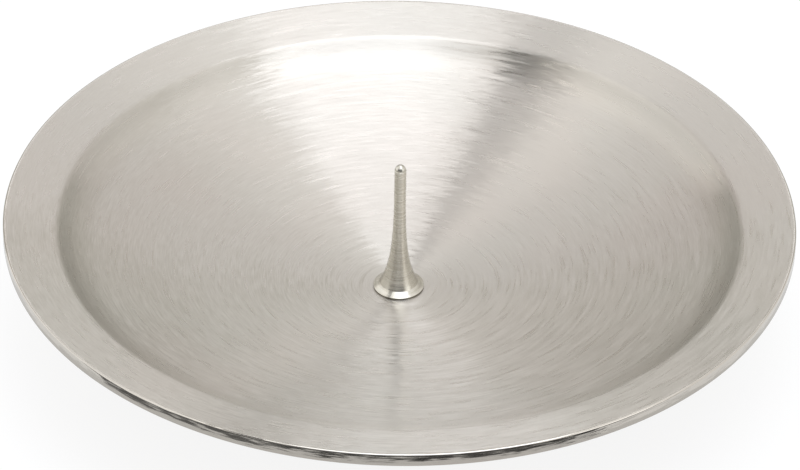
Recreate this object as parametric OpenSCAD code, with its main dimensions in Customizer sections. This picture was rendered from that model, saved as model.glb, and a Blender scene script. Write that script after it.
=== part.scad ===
// Pricket candle plate: a spun steel dish with a turned spike bolted through its middle.
// Millimetres, +Z up, origin on the table at the middle of the foot ring.

/* [Dish] */
// Outer diameter of the dish, over the turned-down lip
plate_d = 140; // [115:1:200]
// Thickness of the dish's sheet
sheet_t = 0.8; // [0.6:0.1:1.6]
// Width of the rim, from the well's edge to the lip
rim_w = 9.5; // [6:0.5:16]
// Rise of the rim outwards, in degrees
rim_slope = 12; // [6:0.5:24]
// Inner radius of the bend between the well's wall and the rim
rim_bend_inner_r = 1.5; // [0.5:0.1:4]
// Inner radius of the bend between the rim and the lip
lip_bend_inner_r = 0.1; // [0.1:0.1:1.5]
// Outer radius of that bend, pressed sharper than a plain bend
lip_edge_r = 0.3; // [0.2:0.1:0.6]
// Height of the lip's straight part, with its rounded end
lip_straight = 1.4; // [1:0.1:4]
// Depth of the well, from the rim's inner edge to the seat of the spike
well_depth = 14; // [9:0.5:24]
// Width of the well's steep wall, seen from above
wall_w = 4; // [3:0.5:7]
// Rise of the well's steep wall, in degrees
wall_slope = 38; // [32:1:50]
// Radius of the bend between the well's floor and its wall
wall_bend_r = 15; // [6:1:18]
// How far the floor's curve hangs below a straight cone
floor_sag = 1.6; // [0.6:0.1:2.2]
// Flat margin around the spike's flare before the floor starts to rise
seat_margin = 2; // [1.5:0.1:4]
// Radius of the bend between the seat and the floor
seat_bend_r = 12; // [4:1:14]

/* [Spike] */
// Height of the spike above its seat
spike_h = 26; // [20:0.5:60]
// Diameter of the spike's straight shaft
shaft_d = 2.1; // [1.6:0.1:4]
// Diameter of the flare that stands on the dish
flare_d = 9; // [7:0.5:16]
// Height of the flare's upright edge
flare_edge = 0.35; // [0.2:0.05:1]
// Width of the cone at the foot of the flare
cone_w = 1.05; // [0.4:0.05:1.4]
// Rise of that cone, in degrees
cone_slope = 33; // [15:1:50]
// Height at which the flare has become the straight shaft
flare_h = 17; // [10:0.5:18]
// Height over which the flare loses most of its spread
flare_fade = 4.8; // [2.5:0.1:6]
// Step between the shaft and its domed tip
tip_step = 0.07; // [0.03:0.01:0.2]

/* [Fastening] */
// Diameter of the threaded stud under the flare
thread_d = 4; // [3:0.5:6]
// Gap around the stud in the dish and in the flat washer
hole_gap = 0.15; // [0.05:0.05:0.4]
// Gap around the stud in the nut, which stands for the thread
thread_gap = 0.03; // [0.01:0.01:0.1]
// Length of stud that shows below the nut
stud_end = 1; // [0.5:0.1:3]
// Chamfer at the end of the stud
stud_chamfer = 0.4; // [0.2:0.1:0.8]
// Outer diameter of the flat washer
washer_d = 9; // [8:0.5:14]
// Thickness of the flat washer
washer_t = 0.8; // [0.5:0.1:1.6]
// Gap around the stud in the spring washer
spring_gap = 0.05; // [0.03:0.01:0.2]
// Width of the spring washer's section
spring_w = 1.5; // [1:0.1:2]
// Height of the spring washer, pressed flat
spring_t = 0.9; // [0.6:0.1:1.6]
// Width of the slit in the spring washer
slit_w = 0.6; // [0.3:0.1:1]
// Lean of the slit, in degrees
slit_lean = 20; // [0:1:30]
// Width of the nut across its flats
nut_af = 7; // [7:0.5:12]
// Height of the nut
nut_h = 3.2; // [2.4:0.1:6]
// How much narrower the nut's round end face is than its flats
nut_face_relief = 0.3; // [0.1:0.1:0.8]
// Slope of the nut's corner chamfers, in degrees
nut_chamfer = 30; // [20:1:40]

/* [Foot] */
// Outer diameter of the foot ring
foot_d = 60; // [40:1:76]
// Thickness of the foot ring's sheet
foot_t = 1; // [0.8:0.1:2]
// Width of the flange that is welded under the dish
foot_flange_w = 5; // [4:0.5:9]
// Inner radius of the bend between the foot's wall and its flange
foot_bend_inner_r = 0.8; // [0.2:0.1:1.5]
// Gap between the flange and the dish, filled by the welds
weld_gap = 0.05; // [0.02:0.01:0.15]
// Room between the end of the stud and the table
table_gap = 1.1; // [0.5:0.1:5]

/* [Hidden] */
$fn = 96;

// Points along each bend, the flare and each rounded end
bend_steps = 16;
flare_steps = 36;
round_steps = 10;
// Distance to either side at which the dish's slope is read
slope_probe = 0.5;
// Extra length of a cut past the faces that it cuts
cut_past = 1;

steel = [0.74, 0.72, 0.69];
bright_steel = [0.8, 0.78, 0.75];
zinc = [0.68, 0.69, 0.7];
dark_zinc = [0.55, 0.56, 0.57];

// The stack under the dish, from the table up
nut_z = table_gap + stud_end;
spring_z = nut_z + nut_h;
washer_z = spring_z + spring_t;
dish_under_z = washer_z + washer_t;
seat_z = dish_under_z + sheet_t;
stud_r = thread_d / 2;
hole_r = stud_r + hole_gap;

// Corners of the dish's upper face, from the hole to the lip, before they are bent round
plate_r = plate_d / 2;
well_r = plate_r - rim_w;
seat_r = max(flare_d, washer_d) / 2 + seat_margin;
rim_inner_z = seat_z + well_depth;
wall_foot = [well_r - wall_w, rim_inner_z - wall_w * tan(wall_slope)];
floor_start = [seat_r, seat_z];
floor_middle = (floor_start + wall_foot) / 2 - [0, 2 * floor_sag];
lip_corner = [plate_r, rim_inner_z + rim_w * tan(rim_slope)];
lip_bend_r = lip_bend_inner_r + sheet_t;
lip_end = lip_corner - [0, bend_length(lip_bend_r, 90 + rim_slope) + lip_straight - sheet_t / 2];
dish_corners = [
    [hole_r, seat_z],
    floor_start,
    floor_middle,
    wall_foot,
    [well_r, rim_inner_z],
    lip_corner,
    lip_end
];

// The floor is one arc, as long as the bends at both of its ends leave room for
floor_tangent = min(
    norm(floor_middle - floor_start) - bend_length(seat_bend_r, turn(dish_corners, 1)),
    norm(wall_foot - floor_middle) - bend_length(wall_bend_r, turn(dish_corners, 3))
);
floor_bend_r = floor_tangent / tan(abs(turn(dish_corners, 2)) / 2);
dish_bends = [0, seat_bend_r, floor_bend_r, wall_bend_r, rim_bend_inner_r + sheet_t];
dish_path = bent_path(dish_corners, [each dish_bends, lip_edge_r, 0]);
plain_path = bent_path(dish_corners, [each dish_bends, lip_bend_r, 0]);

// The dish's underside as height by radius, up to the top of the lip's bend
dish_under = [for (s = plain_path) if (s[1] > 0 || s[0][0] < seat_r) s[0] - sheet_t * left(s[1])];

// Corners of the foot ring's outer face, from the flange's edge to the table
foot_r = foot_d / 2;
flange_mid_r = foot_r - foot_flange_w / 2;
flange_rise = under_z(flange_mid_r + slope_probe) - under_z(flange_mid_r - slope_probe);
flange_slope = atan(flange_rise / (2 * slope_probe));
foot_corners = [
    [foot_r - foot_flange_w, flange_z(foot_r - foot_flange_w)],
    [foot_r, flange_z(foot_r)],
    [foot_r, 0]
];
foot_path = bent_path(foot_corners, [0, foot_bend_inner_r + foot_t, 0]);

// Heights along the spike
shaft_r = shaft_d / 2;
tip_r = shaft_r - tip_step;
tip_z = seat_z + spike_h;
shaft_top_z = tip_z - tip_r - tip_step;
cone_top_r = flare_d / 2 - cone_w;
cone_top_z = seat_z + flare_edge + cone_w * tan(cone_slope);
flare_rise = seat_z + flare_h - cone_top_z;
flare_end = flare_left(1);

// Unit vector along a heading in degrees, and the one to its left
function along(heading) = [cos(heading), sin(heading)];
function left(heading) = [-sin(heading), cos(heading)];

// Heading of the stretch after a corner, the turn at a corner, and how far its bend reaches along a stretch
function heading(corners, i) = let (d = corners[i + 1] - corners[i]) atan2(d[1], d[0]);
function turn(corners, i) = heading(corners, i) - heading(corners, i - 1);
function bend_length(radius, angle) = radius * tan(abs(angle) / 2);

// Points and headings along one bend
function bend(corners, i, radius) =
    let (
        from = heading(corners, i - 1),
        angle = turn(corners, i),
        side = sign(angle),
        start = corners[i] - bend_length(radius, angle) * along(from),
        centre = start + side * radius * left(from)
    )
    [
        for (k = [0 : bend_steps])
            let (h = from + angle * k / bend_steps)
            [centre - side * radius * left(h), h]
    ];

// Points and headings along a row of corners, each bent to its radius
function bent_path(corners, bends) =
    let (last = len(corners) - 1)
    [
        [corners[0], heading(corners, 0)],
        for (i = [1 : last - 1]) each bend(corners, i, bends[i]),
        [corners[last], heading(corners, last - 1)]
    ];

// Outline of a sheet whose upper face follows one path, and whose lower face lies along another
function sheet_outline(path, under_path, thickness, end_points = []) =
    concat(
        [for (s = path) s[0]],
        end_points,
        [for (i = [len(under_path) - 1 : -1 : 0]) under_path[i][0] - thickness * left(under_path[i][1])]
    );

// Half circle around the end of a sheet
function round_end(stop, thickness) =
    let (centre = stop[0] - thickness / 2 * left(stop[1]))
    [
        for (k = [1 : round_steps - 1])
            centre + thickness / 2 * left(stop[1] - 180 * k / round_steps)
    ];

// Height of the dish's underside, and of the flange that lies along it
function under_z(radius) = lookup(radius, dish_under);
function flange_z(radius) =
    under_z(flange_mid_r) - weld_gap / cos(flange_slope) + (radius - flange_mid_r) * tan(flange_slope);

// Share of the flare's spread that is left at a share of its height, and the flare's radius there
function flare_left(share) = exp(-share * flare_rise / flare_fade);
function flare_r(share) =
    shaft_r + (cone_top_r - shaft_r) * (flare_left(share) - flare_end) / (1 - flare_end);

module dish() {
    lip_round = round_end(dish_path[len(dish_path) - 1], sheet_t);
    color(steel)
        rotate_extrude()
            polygon(sheet_outline(dish_path, plain_path, sheet_t, lip_round));
}

// The turned spike with its flare, and the threaded stud below it in one piece
module spike() {
    stud = [
        [0, table_gap],
        [stud_r - stud_chamfer, table_gap],
        [stud_r, table_gap + stud_chamfer],
        [stud_r, seat_z]
    ];
    flare = [
        [flare_d / 2, seat_z],
        [flare_d / 2, seat_z + flare_edge],
        for (k = [0 : flare_steps])
            let (share = pow(k / flare_steps, 2))
            [flare_r(share), cone_top_z + share * flare_rise]
    ];
    tip = [
        [shaft_r, shaft_top_z],
        for (k = [0 : round_steps])
            [0, tip_z - tip_r] + tip_r * along(90 * k / round_steps)
    ];
    color(bright_steel)
        rotate_extrude()
            polygon(concat(stud, flare, tip));
}

module flat_washer() {
    color(zinc)
        translate([0, 0, washer_z])
            rotate_extrude()
                translate([hole_r, 0])
                    square([washer_d / 2 - hole_r, washer_t]);
}

// The split spring washer, pressed flat by the nut
module spring_washer() {
    inner_r = stud_r + spring_gap;
    color(dark_zinc)
        translate([0, 0, spring_z])
            difference() {
                rotate_extrude()
                    translate([inner_r, 0])
                        square([spring_w, spring_t]);
                translate([inner_r + spring_w / 2, 0, spring_t / 2])
                    rotate([slit_lean, 0, 0])
                        cube([spring_w + 2 * cut_past, slit_w, 2 * (spring_t + cut_past)], center = true);
            }
}

// The nut: a hexagon turned to a cone at both ends
module hex_nut() {
    corner_r = nut_af / 2 / cos(30);
    face_r = (nut_af - nut_face_relief) / 2;
    chamfer_h = (corner_r - face_r) * tan(nut_chamfer);
    bore_r = stud_r + thread_gap;
    color(zinc)
        translate([0, 0, nut_z])
            intersection() {
                linear_extrude(nut_h)
                    difference() {
                        circle(corner_r, $fn = 6);
                        circle(bore_r);
                    }
                rotate_extrude()
                    polygon([
                        [0, 0],
                        [face_r, 0],
                        [corner_r, chamfer_h],
                        [corner_r, nut_h - chamfer_h],
                        [face_r, nut_h],
                        [0, nut_h]
                    ]);
            }
}

// The foot: a ring with an inward flange, welded under the dish
module foot_ring() {
    color(steel)
        rotate_extrude()
            polygon(sheet_outline(foot_path, foot_path, foot_t));
}

dish();
spike();
flat_washer();
spring_washer();
hex_nut();
foot_ring();
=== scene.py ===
"""Pricket candle plate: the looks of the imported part, in metres, in the part's own frame.

Every piece is turned, spun or cut as the real one is, from sizes that match the solids, and wears a
procedural steel finish that reads the piece's Object coordinates.
"""

import logging
import math
from dataclasses import dataclass, field
from enum import Enum
from typing import Sequence, Union

import bpy
from mathutils import Matrix, Vector


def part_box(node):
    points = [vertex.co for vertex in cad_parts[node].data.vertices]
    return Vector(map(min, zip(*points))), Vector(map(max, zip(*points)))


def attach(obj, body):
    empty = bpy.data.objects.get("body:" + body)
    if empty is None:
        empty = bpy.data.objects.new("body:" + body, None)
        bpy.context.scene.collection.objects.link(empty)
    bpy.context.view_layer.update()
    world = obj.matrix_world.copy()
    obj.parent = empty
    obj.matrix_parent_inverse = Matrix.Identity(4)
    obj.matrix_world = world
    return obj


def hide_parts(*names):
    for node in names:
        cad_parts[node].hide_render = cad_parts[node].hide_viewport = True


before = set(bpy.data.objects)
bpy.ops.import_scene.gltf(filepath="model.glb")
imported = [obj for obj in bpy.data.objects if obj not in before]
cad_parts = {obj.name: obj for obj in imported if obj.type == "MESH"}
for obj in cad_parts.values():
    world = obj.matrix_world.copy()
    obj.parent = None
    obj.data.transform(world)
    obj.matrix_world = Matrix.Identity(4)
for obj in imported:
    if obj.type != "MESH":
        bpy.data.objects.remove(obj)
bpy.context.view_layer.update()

LOG = logging.getLogger("candle_plate")
MM = 0.001
BODY = "root"
PHOTO_WIDTH = 800
ORIGIN = (0.0, 0.0, 0.0)
UP = (0.0, 0.0, 1.0)

# Vertices closer together than this are merged
MERGE_DISTANCE = 0.002 * MM

# Vertices closer to a cut than this lie on it
CUT_DISTANCE = 0.00001 * MM

# Sockets of a node that mixes colours: the share, both colours, and the result
MIX_INPUTS = (0, 6, 7)
MIX_OUTPUT = 2

# Tints of the tall cards and of the low cards behind the plate
BACK_TINT = (1.05, 1.0, 0.965)
LOW_TINT = (1.0, 1.0, 0.925)

Point = tuple[float, float]
Place = tuple[float, float, float]
Colour = tuple[float, float, float, float]
Piece = bpy.types.Object
Finish = bpy.types.Material
Socket = bpy.types.NodeSocket
Value = Union[Socket, float, Sequence[float]]


class Cut(Enum):
    """What is left of a piece and a tool that meet."""

    SHARED = "INTERSECT"
    AWAY = "DIFFERENCE"
    JOINED = "UNION"


def heading(start: Point, stop: Point) -> float:
    """Angle of the line from one profile point to the next, in radians."""
    return math.atan2(stop[1] - start[1], stop[0] - start[0])


def add_stretch(points: list[Vector], stop: Vector, spacing: float) -> None:
    """Adds evenly spaced points on the straight line from the last point to another.

    Args:
        points: The profile so far, which is added to.
        stop: End of the stretch.
        spacing: Longest step.
    """
    start = points[-1]
    steps = max(1, math.ceil((stop - start).length / spacing))
    points.extend(start.lerp(stop, k / steps) for k in range(1, steps + 1))


def bent_profile(
    corners: Sequence[Point], bends: Sequence[float], spacing: float, arc_step: float
) -> list[Point]:
    """Rounds the corners of a profile, as a sheet is bent round them.

    Args:
        corners: Sharp corners as (radius, height).
        bends: Radius of the bend at each corner, 0 at both ends.
        spacing: Longest step along a straight stretch or a wide bend.
        arc_step: Largest turn between two points of a bend, in radians.

    Returns:
        Points along the bent profile.
    """
    points = [Vector(corners[0])]
    for before, corner, after, radius in zip(corners, corners[1:], corners[2:], bends[1:]):
        start_heading = heading(before, corner)
        turned = heading(corner, after) - start_heading
        side = math.copysign(1.0, turned)
        along = Vector((math.cos(start_heading), math.sin(start_heading)))
        arc_start = Vector(corner) - radius * math.tan(abs(turned) / 2) * along
        centre = arc_start + side * radius * Vector((-along.y, along.x))
        steps = max(2, math.ceil(abs(turned) / arc_step), math.ceil(radius * abs(turned) / spacing))
        add_stretch(points, arc_start, spacing)
        for k in range(1, steps + 1):
            angle = start_heading + turned * k / steps
            points.append(centre - side * radius * Vector((-math.sin(angle), math.cos(angle))))
    add_stretch(points, Vector(corners[-1]), spacing)
    return [(p.x, p.y) for p in points]


def offset(points: Sequence[Point], distance: float) -> list[Point]:
    """Moves a profile to its right, and keeps the distance at its corners.

    Args:
        points: Points along the profile.
        distance: How far it is moved.

    Returns:
        Points along the moved profile, as many as before.
    """
    lines = [heading(a, b) for a, b in zip(points, points[1:])]
    moved = []
    for (x, z), before, after in zip(points, [lines[0], *lines], [*lines, lines[-1]]):
        middle = (before + after) / 2
        reach = distance / math.cos((after - before) / 2)
        moved.append((x + reach * math.sin(middle), z - reach * math.cos(middle)))
    return moved


def deselect() -> None:
    """Deselects every object, so that an operator acts only on what comes next."""
    bpy.ops.object.select_all(action="DESELECT")


def edit_mode() -> None:
    """Opens the active mesh for editing, with all of it selected."""
    bpy.ops.object.mode_set(mode="EDIT")
    bpy.ops.mesh.select_mode(type="VERT")
    bpy.ops.mesh.select_all(action="SELECT")


def object_mode() -> None:
    """Closes the mesh that is being edited."""
    bpy.ops.object.mode_set(mode="OBJECT")


def pick(piece: Piece) -> None:
    """Makes one piece the only one selected, and the active one.

    Args:
        piece: The piece.
    """
    deselect()
    piece.select_set(True)
    bpy.context.view_layer.objects.active = piece


def named(name: str) -> Piece:
    """Names the primitive that was just added.

    Args:
        name: Name of the piece and of its mesh.

    Returns:
        The piece.
    """
    piece = bpy.context.object
    piece.name = name
    piece.data.name = name
    return piece


def rotate(angle: float, axis: str) -> None:
    """Turns the selected vertices about an axis through the origin, counter-clockwise, in radians."""
    bpy.ops.transform.rotate(value=-angle, orient_axis=axis, center_override=ORIGIN)


def cut_level(height: float, keep_above: bool) -> None:
    """Cuts the selected mesh level, closes the cut and selects what is left.

    Args:
        height: Height of the cut.
        keep_above: Whether what lies above it is kept, and not what lies below.
    """
    bpy.ops.mesh.bisect(
        plane_co=(0, 0, height),
        plane_no=UP,
        use_fill=True,
        clear_inner=keep_above,
        clear_outer=not keep_above,
        threshold=CUT_DISTANCE,
    )
    bpy.ops.mesh.select_all(action="SELECT")


def trace(name: str, profile: Sequence[Point]) -> Piece:
    """Draws a profile as a wire in the XZ plane, by extruding one point along it.

    Args:
        name: Name of the new piece.
        profile: Points as (radius, height).

    Returns:
        The new piece.
    """
    deselect()
    bpy.ops.mesh.primitive_plane_add(size=MM, location=ORIGIN)
    piece = named(name)
    edit_mode()
    bpy.ops.mesh.merge(type="CENTER")
    last = Vector((0, 0))
    for count, point in enumerate(Vector(p) for p in profile):
        step = (point.x - last.x, 0, point.y - last.y)
        if count:
            bpy.ops.mesh.extrude_region_move(TRANSFORM_OT_translate={"value": step})
        else:
            bpy.ops.transform.translate(value=step)
        last = point
    object_mode()
    return piece


def turn(name: str, profile: Sequence[Point], facets: int) -> Piece:
    """Turns a profile about +Z, as on a lathe, and closes the seam.

    Args:
        name: Name of the new piece.
        profile: Points as (radius, height).
        facets: Facets around.

    Returns:
        The new piece, with its faces pointing outwards.
    """
    piece = trace(name, profile)
    edit_mode()
    bpy.ops.mesh.spin(steps=facets, angle=math.tau, center=ORIGIN, axis=UP)
    bpy.ops.mesh.select_all(action="SELECT")
    bpy.ops.mesh.remove_doubles(threshold=MERGE_DISTANCE)
    bpy.ops.mesh.normals_make_consistent(inside=False)
    object_mode()
    return piece


def turn_ring(name: str, radii: Point, heights: Point, facets: int) -> Piece:
    """Turns a plain ring with a rectangular section.

    Args:
        name: Name of the new piece.
        radii: Inner and outer radius.
        heights: Heights of its lower and upper face.
        facets: Facets around.

    Returns:
        The ring.
    """
    inner, outer = radii
    low, high = heights
    section = [(inner, low), (outer, low), (outer, high), (inner, high), (inner, low)]
    return turn(name, section, facets)


def face_up(piece: Piece) -> None:
    """Turns an open sheet's faces over if most of them look down.

    Args:
        piece: The sheet.
    """
    lean = sum(face.normal.z * face.area for face in piece.data.polygons)
    if lean < 0:
        pick(piece)
        edit_mode()
        bpy.ops.mesh.flip_normals()
        object_mode()


def thicken(piece: Piece, thickness: float) -> None:
    """Gives an open sheet its thickness, below the face that was drawn.

    Args:
        piece: The sheet.
        thickness: Its thickness.
    """
    pick(piece)
    wall = piece.modifiers.new("Sheet", "SOLIDIFY")
    wall.thickness = thickness
    wall.offset = -1
    wall.use_even_offset = True
    bpy.ops.object.modifier_apply(modifier=wall.name)


def soften(piece: Piece, width: float, segments: int, angle: float) -> None:
    """Breaks the sharp edges of a piece.

    Args:
        piece: The piece.
        width: Width of the broken edge.
        segments: Facets across it.
        angle: Least angle of an edge that is broken, in degrees.
    """
    pick(piece)
    edge = piece.modifiers.new("Edges", "BEVEL")
    edge.width = width
    edge.segments = segments
    edge.limit_method = "ANGLE"
    edge.angle_limit = math.radians(angle)
    bpy.ops.object.modifier_apply(modifier=edge.name)


def carve(piece: Piece, tool: Piece, cut: Cut) -> None:
    """Cuts a piece with a tool, or joins the two, and throws the tool away.

    Args:
        piece: The piece, which keeps its name.
        tool: A closed mesh.
        cut: What is kept.
    """
    pick(piece)
    knife = piece.modifiers.new("Cut", "BOOLEAN")
    knife.operation = cut.value
    knife.solver = "EXACT"
    knife.object = tool
    bpy.ops.object.modifier_apply(modifier=knife.name)
    bpy.data.objects.remove(tool, do_unlink=True)


def smooth(piece: Piece, angle: float) -> None:
    """Shades a piece smooth, but for edges sharper than an angle in degrees."""
    pick(piece)
    bpy.ops.object.shade_smooth_by_angle(angle=math.radians(angle))


def hand_over(piece: Piece, node: str, finish: Finish) -> None:
    """Dresses a piece and puts it in the place of its solid.

    Args:
        piece: The finished piece.
        node: The solid that it stands for.
        finish: Its material.
    """
    piece.data.materials.clear()
    piece.data.materials.append(finish)
    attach(piece, BODY)
    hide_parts(node)
    LOG.info("%s: %d faces, in place of %s", piece.name, len(piece.data.polygons), node)


class Nodes:
    """A small hand for wiring a shader tree."""

    def __init__(self, tree: bpy.types.NodeTree) -> None:
        """Clears a tree and keeps it."""
        self.tree = tree
        tree.nodes.clear()

    def add(self, kind: str, *values: Value, **properties: object) -> bpy.types.Node:
        """Adds a node.

        Args:
            kind: Its type.
            values: What its first inputs are fed.
            properties: Its properties.

        Returns:
            The node.
        """
        node = self.tree.nodes.new(kind)
        for name, setting in properties.items():
            setattr(node, name, setting)
        for target, value in zip(node.inputs, values):
            self.feed(target, value)
        return node

    def link(self, source: Socket, target: Socket) -> None:
        """Joins two sockets."""
        self.tree.links.new(source, target)

    def feed(self, target: Socket, value: Value) -> None:
        """Feeds an input.

        Args:
            target: The input.
            value: A socket that is linked to it, or the plain value that it gets.
        """
        if isinstance(value, Socket):
            self.link(value, target)
        else:
            target.default_value = value

    def math(self, operation: str, *values: Value) -> Socket:
        """Wires an operation on numbers."""
        return self.add("ShaderNodeMath", *values, operation=operation).outputs[0]

    def vector(self, operation: str, *values: Value) -> Socket:
        """Wires an operation on vectors; a number stands for a vector of three of it."""
        return self.add("ShaderNodeVectorMath", *values, operation=operation).outputs["Vector"]

    def split(self, vector: Socket) -> Sequence[Socket]:
        """Wires a vector into its three numbers."""
        return self.add("ShaderNodeSeparateXYZ", vector).outputs

    def radius(self, place: Socket) -> Socket:
        """Wires the distance from the Z axis.

        Args:
            place: Object coordinates.

        Returns:
            The distance.
        """
        x, y, _ = self.split(place)
        squares = self.math("ADD", self.math("MULTIPLY", x, x), self.math("MULTIPLY", y, y))
        return self.math("SQRT", squares)

    def join(self, x: Value, y: Value, z: Value) -> Socket:
        """Wires three numbers into a vector."""
        return self.add("ShaderNodeCombineXYZ", x, y, z).outputs[0]

    def noise(self, place: Socket, size: float, detail: float) -> Socket:
        """Wires a noise texture.

        Args:
            place: Where it is read.
            size: Size of its patches.
            detail: How many finer layers are added.

        Returns:
            A value that is about 0.5 on average.
        """
        node = self.add("ShaderNodeTexNoise", place, noise_dimensions="3D")
        node.inputs["Scale"].default_value = 1.0 / size
        node.inputs["Detail"].default_value = detail
        return node.outputs["Fac"]

    def ramp(self, value: Value, limits: Point, results: Point) -> Socket:
        """Wires a value from one range to another, and holds it at the ends."""
        return self.add("ShaderNodeMapRange", value, *limits, *results, clamp=True).outputs["Result"]

    def blend(self, share: Value, first: Value, second: Value) -> Socket:
        """Wires a mix of two colours.

        Args:
            share: Share of the second colour.
            first: The colour at a share of 0.
            second: The colour at a share of 1.

        Returns:
            The mixed colour.
        """
        node = self.add("ShaderNodeMix", data_type="RGBA")
        for number, value in zip(MIX_INPUTS, (share, first, second)):
            self.feed(node.inputs[number], value)
        return node.outputs[MIX_OUTPUT]

    def mirrored(self) -> Socket:
        """Wires a switch that is 1 for rays that metal or glass sends on."""
        path = self.add("ShaderNodeLightPath").outputs
        return self.math("MAXIMUM", path["Is Glossy Ray"], path["Is Transmission Ray"])

    def seen(self) -> Socket:
        """Wires a switch that is 1 for rays from the camera, straight or by way of metal or glass."""
        path = self.add("ShaderNodeLightPath").outputs
        return self.math("MAXIMUM", path["Is Camera Ray"], self.mirrored())

    def finish(self, kind: str, shader: Socket) -> None:
        """Wires the output of the tree."""
        self.link(shader, self.add(kind).inputs["Surface"])


def new_material(name: str) -> tuple[Finish, Nodes]:
    """Makes an empty material.

    Args:
        name: Its name.

    Returns:
        The material, and a hand for its tree.
    """
    material = bpy.data.materials.new(name)
    material.use_nodes = True
    return material, Nodes(material.node_tree)


@dataclass(frozen=True)
class BrushedSteel:
    """Steel brushed or turned in circles about +Z.

    A streak is a long thin patch of noise that lies around the axis. Streaks shift the tone and the
    gloss, and lean the surface a little, more so near the axis, so that the edge of a reflection
    breaks up along the brushing. The reflection itself is drawn out across the brushing.
    """

    name: str
    light: Colour
    dark: Colour
    tint: Colour
    roughness: float = 0.29
    roughness_spread: float = 0.04
    anisotropy: float = 1.0
    streak_length: float = 2.8 * MM
    streak_width: float = 0.24 * MM
    broad_length: float = 2.6
    broad_width: float = 2.4
    broad_shift: float = 5.0
    tone_range: Point = (0.7, 1.3)
    gloss_range: Point = (0.3, 0.7)
    lean_across: float = 0.2
    lean_along: float = 0.07
    hub_radius: float = 45.0 * MM
    hub_sway: float = 2.6
    wave_size: float = 18.0 * MM
    wave_lean: float = 0.03
    tint_size: float = 26.0 * MM
    tint_range: Point = (0.4, 0.65)
    tint_share: float = 0.5

    def build(self) -> Finish:
        """Makes the material.

        Returns:
            The material, ready for a piece that is round about +Z.
        """
        material, nodes = new_material(self.name)
        place = nodes.add("ShaderNodeTexCoord").outputs["Object"]
        fine = self._streaks(nodes, place, 1.0, 1.0, 0.0)
        broad = self._streaks(nodes, place, self.broad_length, self.broad_width, self.broad_shift)
        shader = nodes.add("ShaderNodeBsdfPrincipled")
        shader.inputs["Metallic"].default_value = 1.0
        shader.inputs["Anisotropic"].default_value = self.anisotropy
        nodes.link(self._colour(nodes, place, fine, broad), shader.inputs["Base Color"])
        nodes.link(self._gloss(nodes, place, broad), shader.inputs["Roughness"])
        self._lean(nodes, shader, place, fine, broad)
        nodes.finish("ShaderNodeOutputMaterial", shader.outputs[0])
        return material

    def _streaks(self, nodes: Nodes, place: Socket, long: float, wide: float, shift: float) -> Socket:
        """Wires one layer of streaks.

        Args:
            nodes: The tree.
            place: Object coordinates.
            long: Length of the streaks beside the finest ones.
            wide: Width of the streaks beside the finest ones.
            shift: Moves the layer, so that it differs from the others.

        Returns:
            Noise about 0.5.
        """
        x, y, z = nodes.split(place)
        radius = nodes.radius(place)
        around = 1.0 / (self.streak_length * long)
        spot = nodes.join(
            nodes.math("MULTIPLY_ADD", x, around, shift),
            nodes.math("MULTIPLY", y, around),
            nodes.math("MULTIPLY", nodes.math("ADD", radius, z), 1.0 / (self.streak_width * wide)),
        )
        return nodes.noise(spot, 1.0, 1.0)

    def _colour(self, nodes: Nodes, place: Socket, fine: Socket, broad: Socket) -> Socket:
        """Wires the tone: streaks between two greys, with a faint tint in large soft patches.

        Args:
            nodes: The tree.
            place: Object coordinates.
            fine: The fine streaks.
            broad: The broad streaks.

        Returns:
            The colour.
        """
        share = nodes.ramp(nodes.math("ADD", fine, broad), self.tone_range, (0.0, 1.0))
        grey = nodes.blend(share, self.dark, self.light)
        patch = nodes.noise(place, self.tint_size, 1.0)
        tinted = nodes.ramp(patch, self.tint_range, (0.0, self.tint_share))
        return nodes.blend(tinted, grey, self.tint)

    def _gloss(self, nodes: Nodes, place: Socket, broad: Socket) -> Socket:
        """Wires the gloss, which changes from streak to streak."""
        half = self.roughness_spread / 2
        return nodes.ramp(broad, self.gloss_range, (self.roughness - half, self.roughness + half))

    def _lean(
        self, nodes: Nodes, shader: bpy.types.Node, place: Socket, fine: Socket, broad: Socket
    ) -> None:
        """Wires the lean of the streaks and of the sheet's slow waves, and the direction of the brushing.

        Args:
            nodes: The tree.
            shader: The shader that gets both.
            place: Object coordinates.
            fine: The fine streaks.
            broad: The broad streaks.
        """
        normal = nodes.add("ShaderNodeNewGeometry").outputs["Normal"]
        around = nodes.vector("NORMALIZE", nodes.vector("CROSS_PRODUCT", UP, place))
        across = nodes.vector("NORMALIZE", nodes.vector("CROSS_PRODUCT", around, normal))
        wave = nodes.math("SUBTRACT", nodes.noise(place, self.wave_size, 0.0), 0.5)
        wave = nodes.math("MULTIPLY", wave, self.wave_lean)
        streak = nodes.math("SUBTRACT", nodes.math("ADD", fine, broad), 1.0)
        tilt = nodes.math("MULTIPLY_ADD", streak, self.lean_across, wave)
        hub_lean = self.lean_along * self.hub_sway
        along = nodes.ramp(nodes.radius(place), (0.0, self.hub_radius), (hub_lean, self.lean_along))
        sway = nodes.math("MULTIPLY_ADD", nodes.math("SUBTRACT", fine, broad), along, wave)
        leaned = nodes.vector("ADD", normal, nodes.vector("MULTIPLY", across, tilt))
        leaned = nodes.vector("ADD", leaned, nodes.vector("MULTIPLY", around, sway))
        nodes.link(nodes.vector("NORMALIZE", leaned), shader.inputs["Normal"])
        nodes.link(across, shader.inputs["Tangent"])


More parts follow.
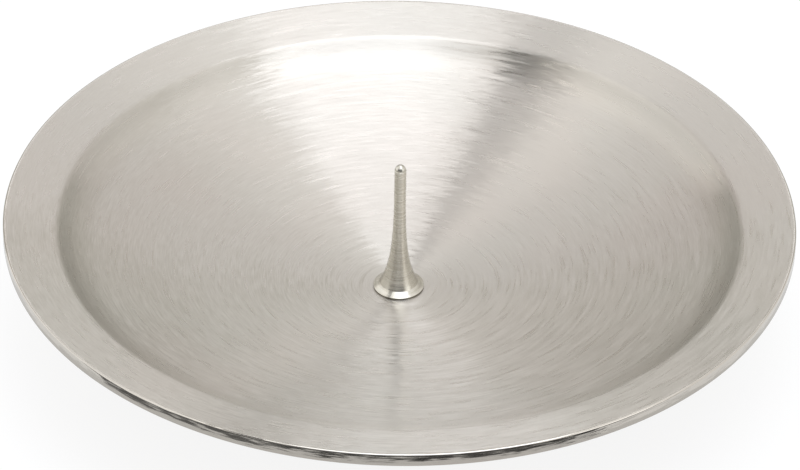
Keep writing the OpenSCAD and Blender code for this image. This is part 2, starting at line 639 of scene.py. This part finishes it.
@dataclass(frozen=True)
class DishSteel(BrushedSteel):
    """Brushed steel of the dish: painted shade darkens the steep wall, painted light makes the rim paler,
    and the lip is polished.
    """

    # Painted shade: the colour is darkened over the steep wall, as the shade that falls there.
    wall: Point = (57.2 * MM, 60.7 * MM)
    wall_shade_fade: float = 2.0 * MM
    wall_shade_colour: Colour = (0.46, 0.44, 0.4, 1)
    wall_shade_share: float = 0.55
    # Painted light: the colour is made paler over the rim, as the fuller light it catches.
    rim: Point = (60.7 * MM, 61.7 * MM)
    rim_light_colour: Colour = (0.63, 0.6, 0.55, 1)
    rim_light_share: float = 0.25
    lip: Point = (69.4 * MM, 69.7 * MM)
    lip_gloss: float = 0.3

    def _colour(self, nodes: Nodes, place: Socket, fine: Socket, broad: Socket) -> Socket:
        """Wires the tone of the streaks, paints shade on the wall and paints light on the rim.

        Args:
            nodes: The tree.
            place: Object coordinates.
            fine: The fine streaks.
            broad: The broad streaks.

        Returns:
            The colour.
        """
        tone = super()._colour(nodes, place, fine, broad)
        radius = nodes.radius(place)
        # Painted light: a paler band over the rim.
        tone = nodes.blend(nodes.ramp(radius, self.rim, (0.0, self.rim_light_share)), tone, self.rim_light_colour)
        # Painted shade: a darker band over the steep wall.
        foot, top = self.wall
        rise = nodes.ramp(radius, (foot, foot + self.wall_shade_fade), (0.0, self.wall_shade_share))
        fall = nodes.ramp(radius, (top - self.wall_shade_fade / 2, top), (1.0, 0.0))
        return nodes.blend(nodes.math("MULTIPLY", rise, fall), tone, self.wall_shade_colour)

    def _gloss(self, nodes: Nodes, place: Socket, broad: Socket) -> Socket:
        """Wires the gloss of the streaks, and polishes the lip."""
        polish = nodes.ramp(nodes.radius(place), self.lip, (1.0, self.lip_gloss))
        return nodes.math("MULTIPLY", super()._gloss(nodes, place, broad), polish)


@dataclass(frozen=True)
class SpikeSteel(BrushedSteel):
    """Turned steel of the spike, with a painted contact shadow along the foot's edge."""

    # Painted shadow: a dark band in the colour along the foot's edge, where it meets the dish.
    foot: Point = (7.8 * MM, 8.12 * MM)
    foot_shadow_fade: float = 0.06 * MM
    foot_shadow_colour: Colour = (0.16, 0.15, 0.13, 1)
    foot_shadow_share: float = 0.85

    def _colour(self, nodes: Nodes, place: Socket, fine: Socket, broad: Socket) -> Socket:
        """Wires the tone of the turning marks, and paints the contact shadow along the foot's edge.

        Args:
            nodes: The tree.
            place: Object coordinates.
            fine: The fine marks.
            broad: The broad marks.

        Returns:
            The colour.
        """
        tone = super()._colour(nodes, place, fine, broad)
        # Painted contact shadow along the foot's edge.
        height = nodes.split(place)[2]
        low, high = self.foot
        rise = nodes.ramp(height, (low - self.foot_shadow_fade, low), (0.0, self.foot_shadow_share))
        fall = nodes.ramp(height, (high - self.foot_shadow_fade, high), (1.0, 0.0))
        return nodes.blend(nodes.math("MULTIPLY", rise, fall), tone, self.foot_shadow_colour)


@dataclass(frozen=True)
class PlatedSteel:
    """Plated steel of small fasteners, with faint mottling."""

    name: str
    light: Colour
    dark: Colour
    roughness: float = 0.34
    roughness_spread: float = 0.14
    grain: float = 0.35 * MM
    grain_detail: float = 4.0
    tone_range: Point = (0.35, 0.65)
    gloss_range: Point = (0.3, 0.7)
    bump: float = 0.08

    def build(self) -> Finish:
        """Makes the material.

        Returns:
            The material.
        """
        material, nodes = new_material(self.name)
        place = nodes.add("ShaderNodeTexCoord").outputs["Object"]
        mottle = nodes.noise(place, self.grain, self.grain_detail)
        shader = nodes.add("ShaderNodeBsdfPrincipled")
        shader.inputs["Metallic"].default_value = 1.0
        share = nodes.ramp(mottle, self.tone_range, (0.0, 1.0))
        nodes.link(nodes.blend(share, self.dark, self.light), shader.inputs["Base Color"])
        half = self.roughness_spread / 2
        gloss = nodes.ramp(mottle, self.gloss_range, (self.roughness + half, self.roughness - half))
        nodes.link(gloss, shader.inputs["Roughness"])
        bump = nodes.add("ShaderNodeBump")
        bump.inputs["Strength"].default_value = self.bump
        bump.inputs["Distance"].default_value = self.grain
        nodes.link(mottle, bump.inputs["Height"])
        nodes.link(bump.outputs["Normal"], shader.inputs["Normal"])
        nodes.finish("ShaderNodeOutputMaterial", shader.outputs[0])
        return material


@dataclass
class Dish:
    """The spun sheet dish: seat, floor, wall, rim and turned-down lip."""

    sheet: float = 0.8 * MM
    rim_width: float = 9.5 * MM
    rim_slope: float = 12.0
    rim_bend: float = 2.3 * MM
    lip_bend: float = 0.9 * MM
    lip_edge: float = 0.3 * MM
    lip_straight: float = 1.4 * MM
    well_depth: float = 14.0 * MM
    wall_width: float = 4.0 * MM
    wall_slope: float = 38.0
    wall_bend: float = 15.0 * MM
    floor_sag: float = 1.6 * MM
    seat_radius: float = 6.5 * MM
    seat_bend: float = 12.0 * MM
    hole_radius: float = 2.15 * MM
    hole_edge: float = 0.1 * MM
    edge_segments: int = 2
    edge_angle: float = 60.0
    crease: float = 40.0
    facets: int = 240
    spacing: float = 1.2 * MM
    arc_step: float = math.radians(5.0)
    round_points: int = 10
    low: Vector = field(default_factory=lambda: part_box("dish")[0])
    high: Vector = field(default_factory=lambda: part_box("dish")[1])

    @property
    def seat_z(self) -> float:
        """Height of the seat that the spike stands on."""
        return self.low.z + self.sheet

    @property
    def well_radius(self) -> float:
        """Radius of the well's edge."""
        return self.high.x - self.rim_width

    def corners(self) -> list[Point]:
        """Finds the sharp corners of the upper face.

        Returns:
            The corners, from the hole to the end of the lip.
        """
        well = self.well_radius
        rim_z = self.seat_z + self.well_depth
        foot = well - self.wall_width
        foot_z = rim_z - self.wall_width * math.tan(math.radians(self.wall_slope))
        middle = (self.seat_radius + foot) / 2
        middle_z = (self.seat_z + foot_z) / 2 - 2 * self.floor_sag
        lip_z = rim_z + self.rim_width * math.tan(math.radians(self.rim_slope))
        lip_drop = self.lip_bend * math.tan(math.radians(90 + self.rim_slope) / 2) + self.lip_straight
        return [
            (self.hole_radius, self.seat_z),
            (self.seat_radius, self.seat_z),
            (middle, middle_z),
            (foot, foot_z),
            (well, rim_z),
            (self.high.x, lip_z),
            (self.high.x, lip_z - lip_drop + self.sheet / 2),
        ]

    def path(self, lip_radius: float) -> list[Point]:
        """Finds the points along the upper face; the floor's bend is as wide as its neighbours allow.

        Args:
            lip_radius: Radius of the bend between the rim and the lip.

        Returns:
            The bent profile.
        """
        corners = self.corners()
        lines = [heading(a, b) for a, b in zip(corners, corners[1:])]
        turns = [abs(b - a) for a, b in zip(lines, lines[1:])]
        seat_reach = self.seat_bend * math.tan(turns[0] / 2)
        wall_reach = self.wall_bend * math.tan(turns[2] / 2)
        room_in = math.dist(corners[1], corners[2]) - seat_reach
        room_out = math.dist(corners[2], corners[3]) - wall_reach
        floor_bend = min(room_in, room_out) / math.tan(turns[1] / 2)
        bends = [0, self.seat_bend, floor_bend, self.wall_bend, self.rim_bend, lip_radius, 0]
        return bent_profile(corners, bends, self.spacing, self.arc_step)

    def underside(self) -> list[Point]:
        """Points along the lower face, where the lip is a plain bend."""
        return offset(self.path(self.lip_bend), self.sheet)

    def under(self, radius: float) -> Point:
        """Finds the underside of the floor.

        Args:
            radius: Where to look.

        Returns:
            The height, and the slope in radians.
        """
        points = self.underside()
        for start, stop in zip(points, points[1:]):
            if start[0] <= radius <= stop[0]:
                slope = heading(start, stop)
                return start[1] + (radius - start[0]) * math.tan(slope), slope
        raise ValueError("no floor at this radius")

    def section(self) -> list[Point]:
        """Draws the sheet's section, with the lip's edge pressed sharp and its end rounded.

        Returns:
            The closed outline.
        """
        upper = self.path(self.lip_edge)
        half = self.sheet / 2
        middle = (upper[-1][0] - half, upper[-1][1])
        angles = [math.pi * k / self.round_points for k in range(1, self.round_points)]
        end = [(middle[0] + half * math.cos(a), middle[1] - half * math.sin(a)) for a in angles]
        return [*upper, *end, *reversed(self.underside()), upper[0]]

    def build(self, finish: Finish) -> Piece:
        """Spins the dish and dresses it.

        Args:
            finish: Its material.

        Returns:
            The dish.
        """
        dish = turn("Dish", self.section(), self.facets)
        soften(dish, self.hole_edge, self.edge_segments, self.edge_angle)
        smooth(dish, self.crease)
        hand_over(dish, "dish", finish)
        return dish


@dataclass
class Spike:
    """The turned spike: flare, shaft, domed tip and the threaded stud below."""

    seat_z: float
    shaft_radius: float = 1.05 * MM
    tip_step: float = 0.07 * MM
    flare_edge: float = 0.35 * MM
    cone_width: float = 1.05 * MM
    cone_slope: float = 33.0
    flare_height: float = 17.0 * MM
    flare_fade: float = 4.8 * MM
    thread_radius: float = 2.0 * MM
    thread_depth: float = 0.43 * MM
    thread_pitch: float = 0.7 * MM
    thread_crest: float = 0.09 * MM
    thread_root: float = 0.12 * MM
    stud_chamfer: float = 0.4 * MM
    neck_step: float = 0.2 * MM
    crease: float = 25.0
    flare_points: int = 60
    tip_points: int = 12
    facets: int = 96
    low: Vector = field(default_factory=lambda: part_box("spike")[0])
    high: Vector = field(default_factory=lambda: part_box("spike")[1])

    def flare(self) -> list[Point]:
        """Finds the outline of the cone at the foot and of the trumpet above it.

        Returns:
            Points from the foot's edge up, closest together low down.
        """
        foot = self.high.x - self.cone_width
        foot_z = self.flare_edge + self.cone_width * math.tan(math.radians(self.cone_slope))
        rise = self.flare_height - foot_z
        end = math.exp(-rise / self.flare_fade)
        points = [(self.high.x, self.seat_z + self.flare_edge)]
        for k in range(self.flare_points + 1):
            height = rise * (k / self.flare_points) ** 2
            left = (math.exp(-height / self.flare_fade) - end) / (1 - end)
            radius = self.shaft_radius + (foot - self.shaft_radius) * left
            points.append((radius, self.seat_z + foot_z + height))
        return points

    def profile(self) -> list[Point]:
        """Draws the outline above the stud.

        Returns:
            Points from the neck in the dish's hole to the tip.
        """
        tip_radius = self.shaft_radius - self.tip_step
        dome_z = self.high.z - tip_radius
        angles = [math.pi / 2 * k / self.tip_points for k in range(self.tip_points + 1)]
        neck_z = self.seat_z - self.thread_pitch
        neck_radius = self.thread_radius - self.thread_depth - self.neck_step
        return [
            (0.0, neck_z),
            (neck_radius, neck_z),
            (neck_radius, self.seat_z),
            (self.high.x, self.seat_z),
            *self.flare(),
            (self.shaft_radius, dome_z - self.tip_step),
            *((tip_radius * math.cos(a), dome_z + tip_radius * math.sin(a)) for a in angles),
        ]

    def tooth(self, start: float) -> list[Point]:
        """Draws one tooth of the thread.

        Args:
            start: Height at which it starts.

        Returns:
            Points from its root up to the next tooth's.
        """
        root = self.thread_radius - self.thread_depth
        flank = (self.thread_pitch - self.thread_crest - self.thread_root) / 2
        return [
            (root, start),
            (root, start + self.thread_root),
            (self.thread_radius, start + self.thread_root + flank),
            (self.thread_radius, start + self.thread_root + flank + self.thread_crest),
            (root, start + self.thread_pitch),
        ]

    def blank(self) -> list[Point]:
        """Draws what the chamfer leaves of the stud.

        Returns:
            The outline, wider than the thread but for the chamfer at its end.
        """
        wide = self.thread_radius + self.stud_chamfer
        below = self.low.z - MM
        return [
            (0, below),
            (self.thread_radius - self.stud_chamfer - MM, below),
            (wide, self.low.z + 2 * self.stud_chamfer),
            (wide, self.seat_z),
            (0, self.seat_z),
        ]

    def stud(self) -> Piece:
        """Winds the stud's thread, cuts it to length and turns the chamfer at its end.

        Returns:
            The stud, closed at both ends.
        """
        top = self.seat_z - self.thread_pitch / 2
        start = self.low.z - 2 * self.thread_pitch
        stud = trace("Stud", self.tooth(start))
        wind = stud.modifiers.new("Wind", "SCREW")
        wind.axis = "Z"
        wind.screw_offset = self.thread_pitch
        wind.iterations = math.ceil((top - start) / self.thread_pitch) + 1
        wind.steps = wind.render_steps = self.facets // 2
        wind.use_merge_vertices = True
        wind.merge_threshold = MERGE_DISTANCE
        bpy.ops.object.modifier_apply(modifier=wind.name)
        edit_mode()
        bpy.ops.mesh.remove_doubles(threshold=MERGE_DISTANCE)
        cut_level(self.low.z, keep_above=True)
        cut_level(top, keep_above=False)
        bpy.ops.mesh.normals_make_consistent(inside=False)
        object_mode()
        carve(stud, turn("StudBlank", self.blank(), self.facets), Cut.SHARED)
        return stud

    def build(self, finish: Finish) -> Piece:
        """Turns the spike, adds the stud and dresses it.

        Args:
            finish: Its material.

        Returns:
            The spike.
        """
        stud = self.stud()
        spike = turn("Spike", self.profile(), self.facets)
        carve(spike, stud, Cut.JOINED)
        smooth(spike, self.crease)
        hand_over(spike, "spike", finish)
        return spike


@dataclass
class Fastening:
    """Flat washer, spring washer and nut under the dish."""

    hole_radius: float = 2.15 * MM
    spring_bore: float = 2.05 * MM
    nut_bore: float = 2.03 * MM
    nut_sides: int = 6
    nut_turn: float = 30.0
    nut_relief: float = 0.15 * MM
    nut_chamfer: float = 30.0
    nut_crease: float = 25.0
    countersink: float = 0.25 * MM
    slit: float = 0.6 * MM
    slit_lean: float = 20.0
    washer_edge: float = 0.12 * MM
    washer_segments: int = 3
    spring_edge: float = 0.08 * MM
    spring_segments: int = 2
    edge_angle: float = 50.0
    washer_crease: float = 35.0
    tool_height: float = 4.0
    facets: int = 96

    def flat_washer(self, finish: Finish) -> Piece:
        """Punches the flat washer, with its rolled edges.

        Args:
            finish: Its material.

        Returns:
            The washer.
        """
        low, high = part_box("flat_washer")
        washer = turn_ring("FlatWasher", (self.hole_radius, high.x), (low.z, high.z), self.facets)
        soften(washer, self.washer_edge, self.washer_segments, self.edge_angle)
        smooth(washer, self.washer_crease)
        hand_over(washer, "flat_washer", finish)
        return washer

    def spring_washer(self, finish: Finish) -> Piece:
        """Turns the spring washer as a flat ring and cuts its leaning slit.

        Args:
            finish: Its material.

        Returns:
            The washer.
        """
        low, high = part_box("spring_washer")
        outer = -low.x
        washer = turn_ring("SpringWasher", (self.spring_bore, outer), (low.z, high.z), self.facets)
        soften(washer, self.spring_edge, self.spring_segments, self.edge_angle)
        deselect()
        bpy.ops.mesh.primitive_cube_add(size=1.0, location=ORIGIN)
        saw = named("Saw")
        edit_mode()
        bpy.ops.transform.resize(value=(2 * outer, self.slit, self.tool_height * (high.z - low.z)))
        rotate(math.radians(self.slit_lean), "X")
        bpy.ops.transform.translate(value=(outer + self.spring_bore / 2, 0, (low.z + high.z) / 2))
        object_mode()
        carve(washer, saw, Cut.AWAY)
        smooth(washer, self.washer_crease)
        hand_over(washer, "spring_washer", finish)
        return washer

    def hex_nut(self, finish: Finish) -> Piece:
        """Cuts the nut: a turned blank with a countersunk bore, milled to a hexagon.

        Args:
            finish: Its material.

        Returns:
            The nut.
        """
        low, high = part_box("hex_nut")
        corner = high.x
        face = high.y - self.nut_relief
        wide = self.nut_bore + self.countersink
        slope = math.tan(math.radians(self.nut_chamfer))
        drop = (corner - face) * slope + MM * slope
        blank = [
            (self.nut_bore, low.z + self.countersink),
            (wide, low.z),
            (face, low.z),
            (corner + MM, low.z + drop),
            (corner + MM, high.z - drop),
            (face, high.z),
            (wide, high.z),
            (self.nut_bore, high.z - self.countersink),
            (self.nut_bore, low.z + self.countersink),
        ]
        nut = turn("HexNut", blank, self.facets)
        deselect()
        bpy.ops.mesh.primitive_cylinder_add(
            vertices=self.nut_sides,
            radius=corner,
            depth=self.tool_height * (high.z - low.z),
            location=ORIGIN,
        )
        hexagon = named("Hexagon")
        edit_mode()
        rotate(math.radians(self.nut_turn), "Z")
        bpy.ops.transform.translate(value=(0, 0, low.z))
        object_mode()
        carve(nut, hexagon, Cut.SHARED)
        smooth(nut, self.nut_crease)
        hand_over(nut, "hex_nut", finish)
        return nut


@dataclass
class FootRing:
    """The flanged foot ring, spot-welded under the dish."""

    dish: Dish
    sheet: float = 1.0 * MM
    flange: float = 5.0 * MM
    bend: float = 1.8 * MM
    weld_gap: float = 0.05 * MM
    edge_round: float = 0.2 * MM
    edge_segments: int = 3
    edge_angle: float = 50.0
    crease: float = 35.0
    welds: int = 6
    weld_radius: float = 1.3 * MM
    weld_depth: float = 0.14 * MM
    weld_facets: int = 32
    facets: int = 192
    spacing: float = 2.0 * MM
    arc_step: float = math.radians(6.0)
    high: Vector = field(default_factory=lambda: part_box("foot_ring")[1])

    def corners(self) -> list[Point]:
        """Finds the sharp corners of the outer face.

        Returns:
            The corners, from the flange's edge to the table.
        """
        outer = self.high.x
        height, slope = self.dish.under(outer - self.flange / 2)
        middle_z = height - self.weld_gap / math.cos(slope)
        rise = self.flange / 2 * math.tan(slope)
        return [(outer - self.flange, middle_z - rise), (outer, middle_z + rise), (outer, 0.0)]

    def weld(self, number: int) -> Piece:
        """Makes the tip of the electrode that presses one weld's dimple into the flange.

        Args:
            number: Count of the weld around the ring.

        Returns:
            The tip, in place.
        """
        inner, outer, _ = self.corners()
        slope = heading(inner, outer)
        middle = (Vector(inner) + Vector(outer)) / 2
        face = middle - (self.sheet - self.weld_depth) * Vector((-math.sin(slope), math.cos(slope)))
        tip = [
            (0, 0),
            (self.weld_radius - self.weld_depth, 0),
            (self.weld_radius, -self.weld_depth),
            (self.weld_radius, -MM),
            (0, -MM),
        ]
        electrode = turn("Electrode", tip, self.weld_facets)
        edit_mode()
        rotate(-slope, "Y")
        bpy.ops.transform.translate(value=(face.x, 0, face.y))
        rotate(math.tau * (number + 0.5) / self.welds, "Z")
        object_mode()
        return electrode

    def build(self, finish: Finish) -> Piece:
        """Bends the ring, presses the welds and dresses it.

        Args:
            finish: Its material.

        Returns:
            The foot ring.
        """
        profile = bent_profile(self.corners(), [0, self.bend, 0], self.spacing, self.arc_step)
        ring = turn("FootRing", profile, self.facets)
        face_up(ring)
        thicken(ring, self.sheet)
        soften(ring, self.edge_round, self.edge_segments, self.edge_angle)
        for number in range(self.welds):
            carve(ring, self.weld(number), Cut.AWAY)
        smooth(ring, self.crease)
        hand_over(ring, "foot_ring", finish)
        return ring


@dataclass(frozen=True)
class Lamp:
    """A soft lamp that shines straight down; a glow of 1 is as bright as the room."""

    name: str
    place: Place
    size: Point
    glow: float
    turned: float = 0.0
    colour: Place = (0.92, 0.98, 1.1)

    def build(self) -> None:
        """Hangs the lamp."""
        data = bpy.data.lights.new(self.name, "AREA")
        data.shape = "RECTANGLE"
        data.size, data.size_y = self.size
        data.energy = self.glow * math.pi * self.size[0] * self.size[1]
        data.color = self.colour
        lamp = bpy.data.objects.new(self.name, data)
        lamp.location = self.place
        lamp.rotation_euler = (0.0, 0.0, math.radians(self.turned))
        bpy.context.scene.collection.objects.link(lamp)


@dataclass(frozen=True)
class Card:
    """A grey card that only reflections see; a tone of 1 is as bright as the room."""

    name: str
    place: Place
    size: Point
    tone: float
    tint: Place = (1.0, 1.0, 1.0)
    upright: bool = False
    turned: float = 0.0
    circular: bool = False
    facets: int = 96

    def build(self) -> None:
        """Sets the card up."""
        deselect()
        if self.circular:
            bpy.ops.mesh.primitive_circle_add(
                vertices=self.facets, radius=0.5, fill_type="NGON", location=ORIGIN
            )
        else:
            bpy.ops.mesh.primitive_plane_add(size=1.0, location=ORIGIN)
        card = named(self.name)
        edit_mode()
        bpy.ops.transform.resize(value=(*self.size, 1.0))
        rotate(math.pi / 2 if self.upright else 0.0, "X")
        rotate(math.radians(self.turned), "Z")
        bpy.ops.transform.translate(value=self.place)
        object_mode()
        card.visible_camera = False
        card.visible_diffuse = False
        card.visible_shadow = False
        material, nodes = new_material(self.name)
        paint = nodes.add("ShaderNodeEmission")
        paint.inputs["Color"].default_value = (*self.tint, 1)
        paint.inputs["Strength"].default_value = self.tone
        nodes.finish("ShaderNodeOutputMaterial", paint.outputs[0])
        card.data.materials.append(material)


@dataclass
class Studio:
    """Camera, floor, lamps, cards and the pale room around the plate."""

    elevation: float = 34.9
    distance: float = 840.0 * MM
    focal_px: float = 4752.0
    sensor_mm: float = 36.0
    nearest: float = 10.0 * MM
    roll: float = 0.93
    pivot: Place = (0.0, 0.0, 23.45 * MM)
    aim: Place = (0.1 * MM, -2.16 * MM, 20.35 * MM)
    floor_size: float = 6.0
    floor_colour: Colour = (0.94, 0.94, 0.94, 1)
    floor_glow: float = 0.85
    lamps: tuple[Lamp, ...] = (
        Lamp("KeyLamp", (0.075, -0.06, 0.8), (0.393, 0.74), 1.5, turned=10.0),
        Lamp("FillLamp", (0.0, 0.26, 0.82), (0.66, 3.0), 0.44),
        Lamp("SideLamp", (0.353, -0.209, 0.82), (0.2, 0.55), 2.0, turned=25.0),
    )
    cards: tuple[Card, ...] = (
        Card("DarkFlag", (-0.316, -0.073, 0.78), (0.13, 0.69), 0.02, turned=-22.7),
        Card("BackLeft", (-0.642, 1.2, 1.13), (1.316, 2.26), 0.635, BACK_TINT, upright=True),
        Card("BackRight", (0.688, 1.2, 0.89), (1.225, 1.78), 0.725, BACK_TINT, upright=True),
        Card("PalePane", (-0.01, 1.19, 0.78), (0.22, 0.24), 1.4, upright=True),
        Card("LowLeft", (-0.642, 1.195, 0.31), (1.316, 0.62), 0.61, LOW_TINT, upright=True),
        Card("LowRight", (0.688, 1.195, 0.31), (1.225, 0.62), 0.695, LOW_TINT, upright=True),
        Card("LowBack", (0.0, 1.19, 0.11), (2.6, 0.22), 0.3, LOW_TINT, upright=True),
        Card("PaleRight", (0.62, 0.06, 0.81), (0.24, 0.4), 1.4),
        Card("LeftScreen", (-1.3, 0.05, 0.8), (1.6, 1.4), 1.25, upright=True, turned=90.0),
        Card("DarkTable", (0.0, -0.577, 0.002), (1.6, 1.0), 0.06),
        Card("DarkTableLeft", (-0.268, -0.174, 0.003), (0.464, 0.252), 0.14),
        Card("PaleMat", (0.0, -0.013, 0.004), (0.1636, 0.1636), 0.75, circular=True),
        Card("DarkCurtain", (-1.0, -1.4, 0.85), (4.0, 2.1), 0.18, upright=True),
        Card("PaleWindow", (0.6, -0.35, 0.35), (0.3, 0.4), 2.0, upright=True, turned=60.0),
    )
    room_white: Colour = (1.0, 1.0, 1.0, 1)
    room_left: Colour = (1.66, 1.62, 1.58, 1)
    room_right: Colour = (1.07, 1.05, 1.02, 1)
    room_sides: Point = (-0.95, 0.05)

    def camera(self) -> None:
        """Sets the camera where the photograph was taken from."""
        data = bpy.data.cameras.new("Camera")
        data.sensor_width = self.sensor_mm
        data.lens = self.sensor_mm * self.focal_px / PHOTO_WIDTH
        data.clip_start = self.nearest
        eye = bpy.data.objects.new("Camera", data)
        angle = math.radians(self.elevation)
        place = Vector(self.pivot) + self.distance * Vector((0, -math.cos(angle), math.sin(angle)))
        looking = (place - Vector(self.aim)).to_track_quat("Z", "Y").to_matrix()
        rolled = looking @ Matrix.Rotation(math.radians(self.roll), 3, "Z")
        eye.matrix_world = Matrix.Translation(place) @ rolled.to_4x4()
        bpy.context.scene.collection.objects.link(eye)
        bpy.context.scene.camera = eye

    def floor(self) -> None:
        """Lays the pale floor, which looks whiter to the camera and in metal, and keeps the shadow."""
        deselect()
        bpy.ops.mesh.primitive_plane_add(size=self.floor_size, location=ORIGIN)
        floor = named("Floor")
        material, nodes = new_material("PaleFloor")
        paint = nodes.add("ShaderNodeBsdfDiffuse")
        paint.inputs["Color"].default_value = self.floor_colour
        glow = nodes.add("ShaderNodeEmission")
        both = nodes.add("ShaderNodeMixShader")
        nodes.link(nodes.math("MULTIPLY", nodes.seen(), self.floor_glow), both.inputs[0])
        nodes.link(paint.outputs[0], both.inputs[1])
        nodes.link(glow.outputs[0], both.inputs[2])
        nodes.finish("ShaderNodeOutputMaterial", both.outputs[0])
        floor.data.materials.append(material)

    def room(self) -> None:
        """Sets the room: white to the camera, and to metal paler at the left than at the right."""
        world = bpy.data.worlds.new("Room")
        bpy.context.scene.world = world
        world.use_nodes = True
        nodes = Nodes(world.node_tree)
        mirrored = nodes.mirrored()
        across = nodes.split(nodes.add("ShaderNodeTexCoord").outputs["Generated"])[0]
        side = nodes.ramp(across, self.room_sides, (0.0, 1.0))
        walls = nodes.blend(side, self.room_left, self.room_right)
        sky = nodes.add("ShaderNodeBackground")
        nodes.link(nodes.blend(mirrored, self.room_white, walls), sky.inputs["Color"])
        nodes.finish("ShaderNodeOutputWorld", sky.outputs[0])

    def build(self) -> None:
        """Sets up the whole studio."""
        self.camera()
        self.floor()
        self.room()
        for item in (*self.lamps, *self.cards):
            item.build()
        bpy.context.scene.view_settings.view_transform = "Standard"
        LOG.info("studio: %d lamps, %d cards", len(self.lamps), len(self.cards))


def main() -> None:
    """Builds the studio and every piece, in order."""
    logging.basicConfig(level=logging.INFO, format="%(message)s")
    Studio().build()
    brushed = DishSteel(
        "BrushedSteel",
        light=(0.56, 0.535, 0.49, 1),
        dark=(0.525, 0.5, 0.455, 1),
        tint=(0.55, 0.505, 0.46, 1),
    )
    turned = SpikeSteel(
        "TurnedSteel",
        light=(0.68, 0.66, 0.6, 1),
        dark=(0.47, 0.45, 0.39, 1),
        tint=(0.6, 0.57, 0.5, 1),
        roughness=0.26,
        roughness_spread=0.06,
        anisotropy=0.6,
        streak_length=6.0 * MM,
        streak_width=0.16 * MM,
        lean_across=0.3,
        lean_along=0.02,
        hub_sway=1.0,
        wave_lean=0.01,
    )
    satin = BrushedSteel(
        "SatinSteel",
        light=(0.56, 0.54, 0.5, 1),
        dark=(0.48, 0.46, 0.42, 1),
        tint=(0.52, 0.48, 0.44, 1),
        roughness=0.42,
        anisotropy=0.7,
    )
    zinc = PlatedSteel("ZincPlate", light=(0.68, 0.69, 0.7, 1), dark=(0.55, 0.56, 0.57, 1)).build()
    dull_zinc = PlatedSteel(
        "DullZinc",
        light=(0.46, 0.47, 0.48, 1),
        dark=(0.36, 0.37, 0.38, 1),
        roughness=0.45,
    )
    dish = Dish()
    dish.build(brushed.build())
    Spike(dish.seat_z).build(turned.build())
    fastening = Fastening()
    fastening.flat_washer(zinc)
    fastening.spring_washer(dull_zinc.build())
    fastening.hex_nut(zinc)
    FootRing(dish).build(satin.build())


if __name__ == "__main__":
    main()
